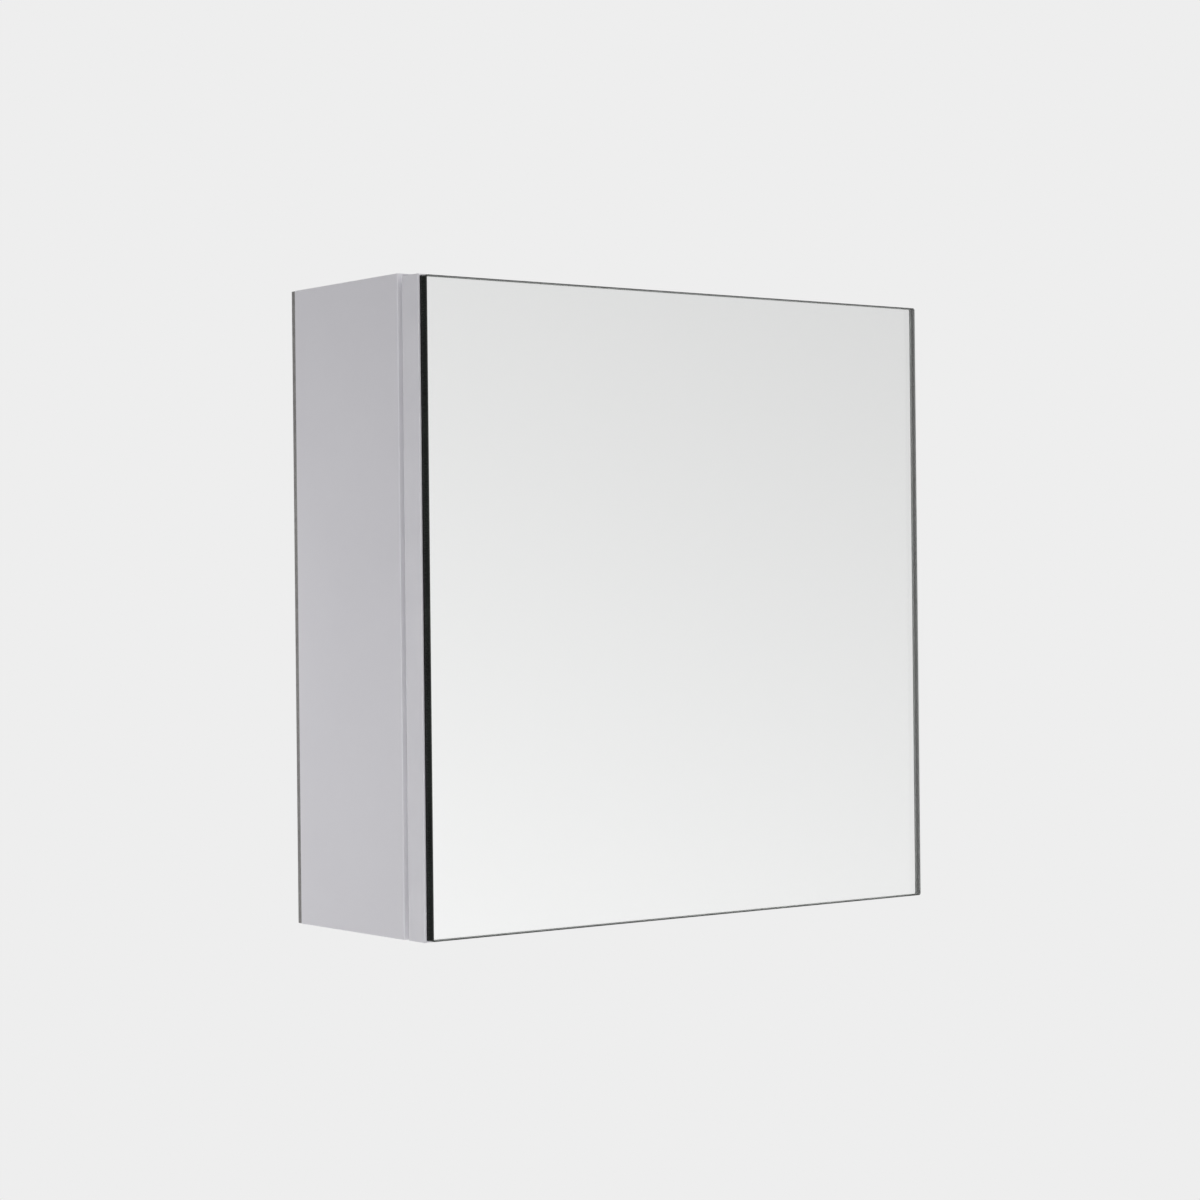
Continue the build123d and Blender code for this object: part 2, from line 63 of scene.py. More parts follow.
# Shader helpers
def startFinish(name, sockets):
    finish = bpy.data.materials.new(name)
    finish.use_nodes = True
    tree = finish.node_tree
    shader = tree.nodes["Principled BSDF"]
    for label, value in sockets.items():
        shader.inputs[label].default_value = value
    coords = tree.nodes.new("ShaderNodeTexCoord")
    return finish, tree, shader, coords


def noise(tree, spot, scale, detail=3.0, stretch=(1, 1, 1)):
    place = tree.nodes.new("ShaderNodeMapping")
    place.inputs["Scale"].default_value = stretch
    tree.links.new(spot, place.inputs["Vector"])
    speckle = tree.nodes.new("ShaderNodeTexNoise")
    speckle.inputs["Scale"].default_value = scale
    speckle.inputs["Detail"].default_value = detail
    tree.links.new(place.outputs["Vector"], speckle.inputs["Vector"])
    return speckle.outputs["Fac"]


def cells(tree, spot, scale):
    pores = tree.nodes.new("ShaderNodeTexVoronoi")
    pores.inputs["Scale"].default_value = scale
    tree.links.new(spot, pores.inputs["Vector"])
    return pores.outputs["Distance"]


def spread(tree, factor, low, high, start=midNoise[0], end=midNoise[1]):
    # start to end becomes low to high, and both ends hold
    span = tree.nodes.new("ShaderNodeMapRange")
    span.inputs["From Min"].default_value = start
    span.inputs["From Max"].default_value = end
    span.inputs["To Min"].default_value = low
    span.inputs["To Max"].default_value = high
    tree.links.new(factor, span.inputs["Value"])
    return span.outputs["Result"]


def ramp(tree, factor, places, tones):
    blend = tree.nodes.new("ShaderNodeValToRGB")
    marks = blend.color_ramp.elements
    while len(marks) < len(places):
        marks.new(1.0)
    for mark, place, tone in zip(marks, places, tones):
        mark.position = place
        mark.color = (*tone, 1.0)
    tree.links.new(factor, blend.inputs["Fac"])
    return blend.outputs["Color"]


def combine(tree, rule, first, second):
    sums = tree.nodes.new("ShaderNodeMath")
    sums.operation = rule
    for socket, value in zip(sums.inputs, (first, second)):
        if isinstance(value, (int, float)):
            socket.default_value = value
        else:
            tree.links.new(value, socket)
    return sums.outputs["Value"]


def weigh(tree, factors, shares):
    total = 0.0
    for factor, share in zip(factors, shares):
        total = combine(tree, "ADD", combine(tree, "MULTIPLY", factor, share), total)
    return total


def mixTones(tree, factor, first, second):
    blend = tree.nodes.new("ShaderNodeMix")
    blend.data_type = "RGBA"
    tree.links.new(factor, blend.inputs["Factor"])
    for socket, tone in zip([s for s in blend.inputs if s.type == "RGBA"], (first, second)):
        if isinstance(tone, tuple):
            socket.default_value = (*tone, 1.0)
        else:
            tree.links.new(tone, socket)
    return [s for s in blend.outputs if s.type == "RGBA"][0]


def relief(tree, shader, height, strength, depth):
    bump = tree.nodes.new("ShaderNodeBump")
    bump.inputs["Strength"].default_value = strength
    bump.inputs["Distance"].default_value = depth
    tree.links.new(height, bump.inputs["Height"])
    tree.links.new(bump.outputs["Normal"], shader.inputs["Normal"])


def axisPart(tree, vector, axis):
    split = tree.nodes.new("ShaderNodeSeparateXYZ")
    tree.links.new(vector, split.inputs["Vector"])
    return split.outputs[axis]


# White faced board with a fine pearl in its skin; bores and sawn edges show the chips
whiteBoard = {
    "sockets": {"Specular IOR Level": 0.45},
    "tones": ((0.765, 0.758, 0.790), (0.800, 0.794, 0.824)),
    "cloud": 7.0,            # slow drift of the white, per metre
    "pearl": 1500.0,
    "pearlDepth": 0.03 * mm,
    "pearlStrength": 0.25,
    "gloss": (0.36, 0.46),
    "chips": ((0.20, 0.130, 0.075), (0.42, 0.305, 0.190), (0.56, 0.440, 0.300)),
    "chipStops": (0.34, 0.5, 0.64),
    "chipScale": 520.0,
    "chipRough": 0.9,
    "skinEdge": (0.90, 0.96),  # normal along the skin's axis, from chips to white
}


def whiteBoardFinish(faceAxis):
    finish, tree, shader, coords = startFinish("white_board_" + faceAxis, whiteBoard["sockets"])
    spot = coords.outputs["Object"]
    cloud = noise(tree, spot, whiteBoard["cloud"], detail=4.0)
    pearl = noise(tree, spot, whiteBoard["pearl"], detail=2.0)
    white = ramp(tree, cloud, midNoise, whiteBoard["tones"])
    chips = noise(tree, spot, whiteBoard["chipScale"], detail=5.0)
    raw = ramp(tree, chips, whiteBoard["chipStops"], whiteBoard["chips"])
    square = combine(tree, "ABSOLUTE", axisPart(tree, coords.outputs["Normal"], faceAxis), 0.0)
    faced = spread(tree, square, 0.0, 1.0, *whiteBoard["skinEdge"])
    tree.links.new(mixTones(tree, faced, raw, white), shader.inputs["Base Color"])
    gloss = spread(tree, pearl, *whiteBoard["gloss"])
    rawRough = spread(tree, faced, whiteBoard["chipRough"], 0.0, 0.0, 1.0)
    tree.links.new(combine(tree, "MAXIMUM", gloss, rawRough), shader.inputs["Roughness"])
    relief(tree, shader, pearl, whiteBoard["pearlStrength"], whiteBoard["pearlDepth"])
    return finish


# Edge band: nearly the same white, with drawn lines along it
whiteBand = {
    "tones": ((0.770, 0.764, 0.796), (0.806, 0.800, 0.830)),
    "cloud": 30.0,
    "lines": 900.0,
    "lineStretch": (0.02, 1.0, 0.02),
    "lineDepth": 0.02 * mm,
    "lineStrength": 0.2,
    "gloss": (0.28, 0.40),
}


def whiteBandFinish():
    finish, tree, shader, coords = startFinish("white_band", {})
    spot = coords.outputs["Object"]
    lines = noise(tree, spot, whiteBand["lines"], detail=2.0, stretch=whiteBand["lineStretch"])
    cloud = noise(tree, spot, whiteBand["cloud"])
    tree.links.new(ramp(tree, cloud, midNoise, whiteBand["tones"]), shader.inputs["Base Color"])
    tree.links.new(spread(tree, lines, *whiteBand["gloss"]), shader.inputs["Roughness"])
    relief(tree, shader, lines, whiteBand["lineStrength"], whiteBand["lineDepth"])
    return finish


# Hardboard: lacquered white inside, raw pressed fibre on the wall side and its edges
hardboard = {
    "sockets": {"Specular IOR Level": 0.3},
    "lacquer": (0.76, 0.755, 0.785),
    "fibre": ((0.168, 0.163, 0.158), (0.260, 0.254, 0.248), (0.368, 0.361, 0.354)),
    "fibreStops": (0.36, 0.5, 0.64),
    "strands": 1500.0,       # fibres lie both ways, about half a millimetre thick
    "lie": 0.22,
    "mottle": 150.0,
    "cloud": 14.0,
    "shares": (0.16, 0.14, 0.70),  # of mottle, cloud and strands in the tone
    "rough": (0.38, 0.85),   # lacquer, then fibre
    "depth": 0.10 * mm,
    "strength": 0.6,
}


def hardboardFinish():
    finish, tree, shader, coords = startFinish("hardboard", hardboard["sockets"])
    spot = coords.outputs["Object"]
    lie = hardboard["lie"]
    upright = noise(tree, spot, hardboard["strands"], stretch=(1.0, 1.0, lie))
    level = noise(tree, spot, hardboard["strands"], stretch=(lie, 1.0, 1.0))
    strands = combine(tree, "MULTIPLY", combine(tree, "ADD", upright, level), 0.5)
    mottle = noise(tree, spot, hardboard["mottle"], detail=5.0)
    cloud = noise(tree, spot, hardboard["cloud"])
    mixed = weigh(tree, (mottle, cloud, strands), hardboard["shares"])
    raw = ramp(tree, mixed, hardboard["fibreStops"], hardboard["fibre"])
    rawSide = spread(tree, axisPart(tree, coords.outputs["Normal"], "Y"), 0.0, 1.0, *offFront)
    tree.links.new(mixTones(tree, rawSide, hardboard["lacquer"], raw), shader.inputs["Base Color"])
    tree.links.new(spread(tree, rawSide, *hardboard["rough"], 0.0, 1.0), shader.inputs["Roughness"])
    height = combine(tree, "MULTIPLY", strands, rawSide)
    relief(tree, shader, height, hardboard["strength"], hardboard["depth"])
    return finish


# Silvered back of the mirror; its rear and rim are dark grey backing paint
silvering = {
    "silver": (0.955, 0.956, 0.955),
    "paint": (0.060, 0.065, 0.062),
    "paintRough": 0.6,
    "haze": 0.012,
    "hazeScale": 5.0,
}


def silveringFinish():
    finish, tree, shader, coords = startFinish("mirror_silver", {})
    painted = spread(tree, axisPart(tree, coords.outputs["Normal"], "Y"), 0.0, 1.0, *offFront)
    tone = ramp(tree, painted, (0.0, 1.0), (silvering["silver"], silvering["paint"]))
    tree.links.new(tone, shader.inputs["Base Color"])
    tree.links.new(spread(tree, painted, 1.0, 0.0, 0.0, 1.0), shader.inputs["Metallic"])
    clouds = noise(tree, coords.outputs["Object"], silvering["hazeScale"])
    haze = spread(tree, clouds, 0.0, silvering["haze"])
    paintRough = combine(tree, "MULTIPLY", painted, silvering["paintRough"])
    tree.links.new(combine(tree, "MAXIMUM", haze, paintRough), shader.inputs["Roughness"])
    return finish


# Mirror glass: clear faces and a dark ground edge; seen from inside the glass, the edge carries painted
# light
mirrorGlass = {
    "clear": {"Base Color": (0.985, 0.99, 0.987, 1.0), "Transmission Weight": 1.0, "IOR": 1.52},
    "edgeSockets": {"Specular IOR Level": 0.6},
    "edgeTones": ((0.003, 0.0045, 0.0035), (0.008, 0.011, 0.009), (0.016, 0.021, 0.017)),
    "edgeStops": (0.3, 0.52, 0.72),
    "edgeCloud": 26.0,
    "edgeGloss": (0.20, 0.34),
    "grit": 2200.0,
    "gritDepth": 0.02 * mm,
    "gritStrength": 0.3,
    # painted light on the edge as it shows through the glass, front to back: near white at the front, dark
    # by the silvering
    "paintedInsideLight": ((0.84, 0.87, 0.85), (0.01, 0.013, 0.011)),
    "paintedInsideStops": (0.15, 0.65),
    "intoSilver": 0.05 * mm,  # the slab runs this far into the silvering, so no air shows between
    "corner": 1.5 * mm,
    "arris": 0.65 * mm,
    "cornerSteps": 8,
    "arrisSteps": 3,
    "sharpAngle": 25,
}
glassSmear = {"scale": 9.0, "stretch": (1.0, 1.0, 0.4), "patches": (0.45, 0.75), "rough": 0.02}


def clearGlassFinish(name, sockets):
    finish, tree, shader, coords = startFinish(name, sockets)
    spot = coords.outputs["Object"]
    smear = noise(tree, spot, glassSmear["scale"], detail=4.0, stretch=glassSmear["stretch"])
    rough = spread(tree, smear, 0.0, glassSmear["rough"], *glassSmear["patches"])
    tree.links.new(rough, shader.inputs["Roughness"])
    return finish


def groundEdgePaintedLightFinish():
    finish, tree, shader, coords = startFinish("ground_glass_edge_painted_light", mirrorGlass["edgeSockets"])
    spot = coords.outputs["Object"]
    cloud = noise(tree, spot, mirrorGlass["edgeCloud"], detail=4.0)
    grit = noise(tree, spot, mirrorGlass["grit"], detail=2.0)
    tone = ramp(tree, cloud, mirrorGlass["edgeStops"], mirrorGlass["edgeTones"])
    low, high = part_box("mirror_glass")
    depth = spread(tree, axisPart(tree, spot, "Y"), 0.0, 1.0, low.y, high.y)
    # painted light: the faces seen from inside the glass take this light ramp instead of the dark edge
    # tone
    inner = ramp(tree, depth, mirrorGlass["paintedInsideStops"], mirrorGlass["paintedInsideLight"])
    inside = tree.nodes.new("ShaderNodeNewGeometry").outputs["Backfacing"]
    tree.links.new(mixTones(tree, inside, tone, inner), shader.inputs["Base Color"])
    tree.links.new(spread(tree, grit, *mirrorGlass["edgeGloss"]), shader.inputs["Roughness"])
    relief(tree, shader, grit, mirrorGlass["gritStrength"], mirrorGlass["gritDepth"])
    return finish


# Shelf glass: clear, with the green of its iron seen along the sheet
shelfGlass = {
    "clear": {"Base Color": (0.98, 0.99, 0.985, 1.0), "Transmission Weight": 1.0, "IOR": 1.52},
    "absorb": (0.50, 0.90, 0.78, 1.0),
    "density": 22.0,
}


def shelfGlassFinish():
    finish = clearGlassFinish("shelf_glass", shelfGlass["clear"])
    tree = finish.node_tree
    green = tree.nodes.new("ShaderNodeVolumeAbsorption")
    green.inputs["Color"].default_value = shelfGlass["absorb"]
    green.inputs["Density"].default_value = shelfGlass["density"]
    tree.links.new(green.outputs["Volume"], tree.nodes["Material Output"].inputs["Volume"])
    return finish


# Black foam tape with open pores
foamTape = {
    "sockets": {"Roughness": 0.92, "Specular IOR Level": 0.15},
    "tones": ((0.006, 0.006, 0.007), (0.018, 0.018, 0.019)),
    "poreStops": (0.1, 0.6),
    "pores": 1800.0,
    "poreDepth": 0.2 * mm,
    "poreStrength": 0.8,
}


def foamTapeFinish():
    finish, tree, shader, coords = startFinish("foam_tape", foamTape["sockets"])
    pores = cells(tree, coords.outputs["Object"], foamTape["pores"])
    tone = ramp(tree, pores, foamTape["poreStops"], foamTape["tones"])
    tree.links.new(tone, shader.inputs["Base Color"])
    relief(tree, shader, pores, foamTape["poreStrength"], foamTape["poreDepth"])
    return finish


# Metals: each has two tones, a gloss range, a grain and how deep the grain is
metals = {
    "nickel": {
        "tones": ((0.56, 0.545, 0.51), (0.70, 0.685, 0.645)),
        "gloss": (0.16, 0.30),
        "grain": 700.0,
        "stretch": (1.0, 0.06, 1.0),
        "depth": 0.01 * mm,
    },
    "zinc": {
        "tones": ((0.40, 0.41, 0.43), (0.56, 0.57, 0.585)),
        "gloss": (0.38, 0.56),
        "grain": 900.0,
        "stretch": (1.0, 1.0, 1.0),
        "depth": 0.05 * mm,
    },
    "screw_steel": {
        "tones": ((0.50, 0.51, 0.53), (0.66, 0.665, 0.675)),
        "gloss": (0.22, 0.38),
        "grain": 1300.0,
        "stretch": (1.0, 1.0, 1.0),
        "depth": 0.015 * mm,
    },
    "spring_steel": {
        "tones": ((0.34, 0.34, 0.35), (0.50, 0.50, 0.51)),
        "gloss": (0.20, 0.36),
        "grain": 1500.0,
        "stretch": (1.0, 0.2, 1.0),
        "depth": 0.01 * mm,
    },
    "magnet": {
        "tones": ((0.46, 0.455, 0.45), (0.60, 0.595, 0.585)),
        "gloss": (0.14, 0.26),
        "grain": 1600.0,
        "stretch": (1.0, 1.0, 1.0),
        "depth": 0.01 * mm,
    },
}
metalWear = {
    "stain": 90.0,
    "stainStops": (0.32, 0.68),
    "shares": (0.7, 0.3),    # of grain and stain in the gloss
    "strength": 0.3,
}


def metalFinish(name):
    look = metals[name]
    finish, tree, shader, coords = startFinish(name, {"Metallic": 1.0})
    spot = coords.outputs["Object"]
    grain = noise(tree, spot, look["grain"], stretch=look["stretch"])
    stain = noise(tree, spot, metalWear["stain"], detail=4.0)
    tone = ramp(tree, stain, metalWear["stainStops"], look["tones"])
    tree.links.new(tone, shader.inputs["Base Color"])
    worn = weigh(tree, (grain, stain), metalWear["shares"])
    tree.links.new(spread(tree, worn, *look["gloss"]), shader.inputs["Roughness"])
    relief(tree, shader, grain, metalWear["strength"], look["depth"])
    return finish


# Beech dowels: straight grain along X
beech = {
    "sockets": {"Roughness": 0.68, "Specular IOR Level": 0.3},
    "tones": ((0.42, 0.25, 0.125), (0.60, 0.40, 0.225), (0.70, 0.50, 0.30)),
    "stops": (0.32, 0.5, 0.66),
    "grain": 800.0,
    "stretch": (0.05, 1.0, 1.0),
    "depth": 0.08 * mm,
    "strength": 0.5,
}


def beechFinish():
    finish, tree, shader, coords = startFinish("beech", beech["sockets"])
    spot = coords.outputs["Object"]
    grain = noise(tree, spot, beech["grain"], detail=5.0, stretch=beech["stretch"])
    tree.links.new(ramp(tree, grain, beech["stops"], beech["tones"]), shader.inputs["Base Color"])
    relief(tree, shader, grain, beech["strength"], beech["depth"])
    return finish


# Moulded white plastic with a fine spark texture
whitePlastic = {
    "tones": ((0.74, 0.735, 0.725), (0.79, 0.785, 0.775)),
    "cloud": 60.0,
    "spark": 2600.0,
    "gloss": (0.40, 0.54),
    "depth": 0.03 * mm,
    "strength": 0.35,
}


def whitePlasticFinish():
    finish, tree, shader, coords = startFinish("white_plastic", {})
    spot = coords.outputs["Object"]
    spark = noise(tree, spot, whitePlastic["spark"])
    cloud = noise(tree, spot, whitePlastic["cloud"])
    tree.links.new(ramp(tree, cloud, midNoise, whitePlastic["tones"]), shader.inputs["Base Color"])
    tree.links.new(spread(tree, spark, *whitePlastic["gloss"]), shader.inputs["Roughness"])
    relief(tree, shader, spark, whitePlastic["strength"], whitePlastic["depth"])
    return finish


# Which way each board's white skin faces
boardFaces = {
    "side_panel_left": "X",
    "side_panel_right": "X",
    "top_panel": "Z",
    "bottom_panel": "Z",
    "hanging_rail": "Y",
    "door_panel": "Y",
}
boards = {axis: whiteBoardFinish(axis) for axis in "XYZ"}
finishes = {
    "white_band": whiteBandFinish(),
    "hardboard": hardboardFinish(),
    "mirror_silver": silveringFinish(),
    "mirror_glass": clearGlassFinish("mirror_glass", mirrorGlass["clear"]),
    "shelf_glass": shelfGlassFinish(),
    "foam_tape": foamTapeFinish(),
    "beech": beechFinish(),
    "white_plastic": whitePlasticFinish(),
}
for metalName in metals:
    finishes[metalName] = metalFinish(metalName)


def finishFor(nodeName):
    if nodeName in boardFaces:
        return boards[boardFaces[nodeName]]
    return finishes[slotOf[nodeName]]


for nodeName, node in nodes.items():
    for holder in node.material_slots:
        holder.material = finishFor(nodeName)
    node.visible_shadow = slotOf[nodeName] != "shelf_glass"  # clear glass lets the light through
print("finishes:", len(finishes) + len(boards))


# Mesh helpers
def addPiece(name, mesh, *replaced):
    piece = bpy.data.objects.new(name, mesh)
    scene.collection.objects.link(piece)
    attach(piece, bodyOf[replaced[0]])
    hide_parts(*replaced)


def shade(mesh, sharp=sharpAngle):
    for part in mesh.polygons:
        part.use_smooth = True
    mesh.set_sharp_from_angle(angle=math.radians(sharp))


def meshFrom(shape, name, *used, sharp=sharpAngle):
    mesh = bpy.data.meshes.new(name)
    shape.to_mesh(mesh)
    shape.free()
    shade(mesh, sharp)
    for finish in used:
        mesh.materials.append(finish)
    return mesh


def roundedOutline(halfWidth, halfHeight, corner, steps):
    points = []
    for quarter, (sideX, sideZ) in enumerate(((1, 1), (-1, 1), (-1, -1), (1, -1))):
        for step in range(steps + 1):
            angle = math.radians(90 * (quarter + step / steps))
            x = sideX * (halfWidth - corner) + corner * math.cos(angle)
            z = sideZ * (halfHeight - corner) + corner * math.sin(angle)
            points.append((x, z))
    return points


def bridge(shape, first, second, slotIndex=0):
    count = len(first)
    for i in range(count):
        after = (i + 1) % count
        wall = shape.faces.new((first[i], first[after], second[after], second[i]))
        wall.material_index = slotIndex


def lathe(profile, steps):
    # turns (radius, height) pairs round Z, closed by a fan at each end
    shape = bmesh.new()
    rings = []
    for radius, height in profile:
        ring = []
        for step in range(steps):
            angle = 2 * math.pi * step / steps
            ring.append(shape.verts.new((radius * math.cos(angle), radius * math.sin(angle), height)))
        rings.append(ring)
    for first, second in zip(rings, rings[1:]):
        bridge(shape, first, second)
    for ring in (rings[0], rings[-1]):
        middle = shape.verts.new((0, 0, ring[0].co.z))
        for i in range(steps):
            shape.faces.new((ring[i], ring[(i + 1) % steps], middle))
    bmesh.ops.recalc_face_normals(shape, faces=shape.faces)
    return shape


def joinedShape(name):
    shape = bmesh.new()
    shape.from_mesh(nodes[name].data)
    bmesh.ops.remove_doubles(shape, verts=shape.verts, dist=mergeGap)
    return shape


def solidBoxes(name):
    # low and high corner of each separate solid in a node, in the order of its mesh
    shape = joinedShape(name)
    left = set(shape.verts)
    boxes = []
    for start in shape.verts:
        if start not in left:
            continue
        left.discard(start)
        edge = [start]
        group = []
        while edge:
            vert = edge.pop()
            group.append(vert.co.copy())
            for near in [link.other_vert(vert) for link in vert.link_edges]:
                if near in left:
                    left.discard(near)
                    edge.append(near)
        low = Vector([min(point[i] for point in group) for i in range(3)])
        high = Vector([max(point[i] for point in group) for i in range(3)])
        boxes.append((low, high))
    shape.free()
    return boxes


# Mirror glass: one slab with small round corners and a ground arris round its face
def buildMirrorGlass():
    low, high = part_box("mirror_glass")
    centre = (low + high) / 2
    halfWidth, halfHeight = (high.x - low.x) / 2, (high.z - low.z) / 2
    arris = mirrorGlass["arris"]
    rings = [(0.0, high.y + mirrorGlass["intoSilver"])]
    for step in range(mirrorGlass["arrisSteps"] + 1):
        angle = math.radians(90 * step / mirrorGlass["arrisSteps"])
        rings.append((arris * (1 - math.cos(angle)), low.y + arris * (1 - math.sin(angle))))
    shape = bmesh.new()
    loops = []
    steps = mirrorGlass["cornerSteps"]
    for inwards, y in rings:
        corner = mirrorGlass["corner"] - inwards
        outline = roundedOutline(halfWidth - inwards, halfHeight - inwards, corner, steps)
        loops.append([shape.verts.new((centre.x + x, y, centre.z + z)) for x, z in outline])
    for first, second in zip(loops, loops[1:]):
        bridge(shape, first, second, 1)
    shape.faces.new(loops[0])
    shape.faces.new(loops[-1])
    bmesh.ops.recalc_face_normals(shape, faces=shape.faces)
    used = finishes["mirror_glass"], groundEdgePaintedLightFinish()
    mesh = meshFrom(shape, "mirror_glass_slab", *used, sharp=mirrorGlass["sharpAngle"])
    for part in mesh.polygons:
        part.use_smooth = part.material_index == 1  # the large faces stay true, or the mirror bends
    addPiece("mirror_glass_slab", mesh, "mirror_glass")


buildMirrorGlass()
print("mirror glass built")


# Instancer: sets one piece on every point, turned to the point's facing and spun at random
def buildInstancer():
    tree = bpy.data.node_groups.new("set_on_points", "GeometryNodeTree")
    face = tree.interface
    face.new_socket("Points", in_out="INPUT", socket_type="NodeSocketGeometry")
    face.new_socket("Piece", in_out="INPUT", socket_type="NodeSocketObject")
    face.new_socket("Finish", in_out="INPUT", socket_type="NodeSocketMaterial")
    face.new_socket("Spin", in_out="INPUT", socket_type="NodeSocketFloat")
    face.new_socket("Seed", in_out="INPUT", socket_type="NodeSocketInt")
    face.new_socket("Set", in_out="OUTPUT", socket_type="NodeSocketGeometry")
    made = tree.nodes
    given = made.new("NodeGroupInput")
    source = made.new("GeometryNodeObjectInfo")
    facing = made.new("GeometryNodeInputNamedAttribute")
    facing.data_type = "FLOAT_VECTOR"
    facing.inputs["Name"].default_value = "facing"
    turned = made.new("FunctionNodeAlignRotationToVector")
    turned.axis = "Z"
    chance = made.new("FunctionNodeRandomValue")
    chance.data_type = "FLOAT"
    about = made.new("ShaderNodeCombineXYZ")
    spun = made.new("FunctionNodeEulerToRotation")
    both = made.new("FunctionNodeRotateRotation")
    both.rotation_space = "LOCAL"
    placed = made.new("GeometryNodeInstanceOnPoints")
    real = made.new("GeometryNodeRealizeInstances")
    painted = made.new("GeometryNodeSetMaterial")
    result = made.new("NodeGroupOutput")
    link = tree.links.new
    link(given.outputs["Piece"], source.inputs["Object"])
    link([s for s in facing.outputs if s.enabled and s.name == "Attribute"][0], turned.inputs["Vector"])
    link(given.outputs["Spin"], [s for s in chance.inputs if s.enabled and s.name == "Max"][0])
    link(given.outputs["Seed"], chance.inputs["Seed"])
    link([s for s in chance.outputs if s.enabled][0], about.inputs["Z"])
    link(about.outputs["Vector"], spun.inputs["Euler"])
    link(turned.outputs["Rotation"], both.inputs["Rotation"])
    link(spun.outputs["Rotation"], both.inputs["Rotate By"])
    link(given.outputs["Points"], placed.inputs["Points"])
    link(source.outputs["Geometry"], placed.inputs["Instance"])
    link(both.outputs["Rotation"], placed.inputs["Rotation"])
    link(placed.outputs["Instances"], real.inputs["Geometry"])
    link(real.outputs["Geometry"], painted.inputs["Geometry"])
    link(given.outputs["Finish"], painted.inputs["Material"])
    link(painted.outputs["Geometry"], result.inputs["Set"])
    return tree


instancer = buildInstancer()
instancerInputs = {
    item.name: item.identifier
    for item in instancer.interface.items_tree
    if item.item_type == "SOCKET" and item.in_out == "INPUT"
}


def settledMesh(holder, *spent):
    # the mesh after its modifiers; the objects that made it go
    depsgraph = bpy.context.evaluated_depsgraph_get()
    mesh = bpy.data.meshes.new_from_object(holder.evaluated_get(depsgraph))
    for thing in (holder, *spent):
        bpy.data.objects.remove(thing)
    return mesh


def setOnPoints(name, sourceMesh, places, spin, seed, *replaced):
    # places are (point, facing) pairs
    source = bpy.data.objects.new(name + "_source", sourceMesh)
    scene.collection.objects.link(source)
    cloud = bpy.data.meshes.new(name + "_points")
    cloud.from_pydata([tuple(point) for point, facing in places], [], [])
    turns = cloud.attributes.new("facing", "FLOAT_VECTOR", "POINT")
    turns.data.foreach_set("vector", [value for point, facing in places for value in facing])
    holder = bpy.data.objects.new(name, cloud)
    scene.collection.objects.link(holder)
    step = holder.modifiers.new("set", "NODES")
    step.node_group = instancer
    given = {"Piece": source, "Finish": finishFor(replaced[0]), "Spin": spin, "Seed": seed}
    for label, value in given.items():
        step[instancerInputs[label]] = value
    mesh = settledMesh(holder, source)
    mesh.name = name
    addPiece(name, mesh, *replaced)


# Screws with a cross recess
screws = {
    "pan": {
        "headRadius": 3.4 * mm,
        "headHeight": 2.0 * mm,
        "headEdge": 0.12 * mm,
        "headSkirt": 0.45 * mm,  # upright part of the head, under its dome
        "headTop": 2.35 * mm,
        "topShares": (0.55, 0.45),  # of headTop, where the dome and its flat end
        "domeSteps": 6,
        "shank": 1.6 * mm,
        "recess": 1.9 * mm,      # half length of the cross
        "slit": 0.45 * mm,       # half width of the cross
        "recessDepth": 1.5 * mm,
    },
    "flush": {
        "headEdge": 0.08 * mm,
        "shank": 1.5 * mm,
        "recess": 1.75 * mm,
        "slit": 0.40 * mm,
        "recessDepth": 1.4 * mm,
    },
    "tipRadius": 0.4 * mm,
    "tipLength": 3 * mm,
    "bladeAbove": 0.3 * mm,  # the blades that cut the cross start this far above the head
    "bladeShares": (1.06, 0.38),  # size of the cross at the top and the tip of the blades
    "bladeTaper": 0.4,
    "steps": 40,
    "spin": 6.28,            # each head stops at its own angle
}


def crossCutter(look):
    # two tapered blades, set crosswise
    shape = bmesh.new()
    taper = screws["bladeTaper"]
    heights = screws["bladeAbove"], -look["recessDepth"]
    for turn in (0, 90):
        lean = Matrix.Rotation(math.radians(turn), 3, "Z")
        loops = []
        for height, share in zip(heights, screws["bladeShares"]):
            along, across = look["recess"] * share, look["slit"] * (1 - taper + taper * share)
            corners = ((along, across), (-along, across), (-along, -across), (along, -across))
            loops.append([shape.verts.new(lean @ Vector((x, y, height))) for x, y in corners])
        bridge(shape, *loops)
        for loop in loops:
            shape.faces.new(loop)
    bmesh.ops.recalc_face_normals(shape, faces=shape.faces)
    return meshFrom(shape, "cross")


def cutCross(shape, look, name):
    body = bpy.data.objects.new(name, meshFrom(shape, name))
    blade = bpy.data.objects.new(name + "_cross", crossCutter(look))
    for thing in (body, blade):
        scene.collection.objects.link(thing)
    cut = body.modifiers.new("cross", "BOOLEAN")
    cut.operation = "DIFFERENCE"
    cut.solver = "EXACT"
    cut.use_self = True
    cut.object = blade
    mesh = settledMesh(body, blade)
    shade(mesh)
    return mesh


def shankProfile(look, length, headBase):
    tip = (screws["tipRadius"], -length)
    return [tip, (look["shank"], -length + screws["tipLength"]), (look["shank"], headBase)]


def panScrew(length):
    look = screws["pan"]
    radius, height = look["headRadius"], look["headHeight"]
    edge, skirt = look["headEdge"], look["headSkirt"]
    crown, flat = (look["headTop"] * share for share in look["topShares"])
    profile = shankProfile(look, length, -height)
    profile += [(radius - edge, -height), (radius, -height + edge), (radius, -height + skirt)]
    for step in range(1, look["domeSteps"]):
        angle = step / look["domeSteps"] * math.pi / 2
        reach = crown + (radius - crown) * math.cos(angle)
        profile.append((reach, -height + skirt + (height - skirt) * math.sin(angle)))
    profile.append((flat, 0.0))
    return cutCross(lathe(profile, screws["steps"]), look, "pan_screw")


